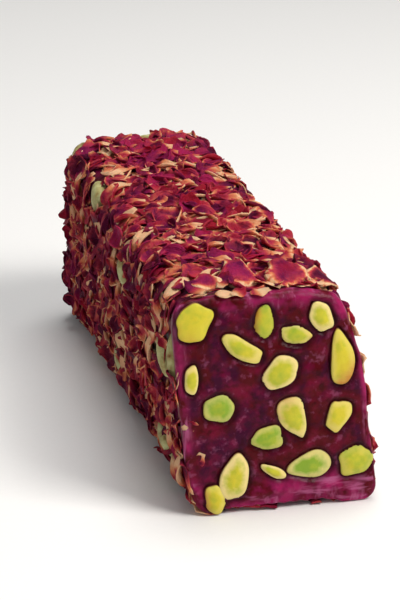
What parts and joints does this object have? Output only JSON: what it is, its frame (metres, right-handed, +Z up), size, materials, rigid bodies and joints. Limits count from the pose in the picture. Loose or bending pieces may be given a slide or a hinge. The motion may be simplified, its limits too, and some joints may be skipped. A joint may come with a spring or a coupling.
{
  "type": "turkish delight bar",
  "caption": "Long bar of dark wine-red Turkish delight set with pistachios and rolled in dried rose petals, cut clean across at one end and rounded at the other.",
  "frame": {"origin": "middle of the bar's box, on the surface that the bar rests on", "axes": "+Y along the bar from its cut end to its rounded heel, +Z up, +X to the right of the cut end as seen from in front of it"},
  "size_m": [0.0566, 0.1512, 0.0604],
  "materials": {
    "rose_petals": "dry, crumpled dried petals, wine-red with pale gold edges",
    "jelly": "dark wine-red starch jelly, moist and softly glossy where it is cut",
    "pistachio": "yellow-green kernels, waxy where they are cut"
  },
  "bodies": {
    "root": {"rose_petal_bar": "rose_petals"}
  },
  "joints": []
}
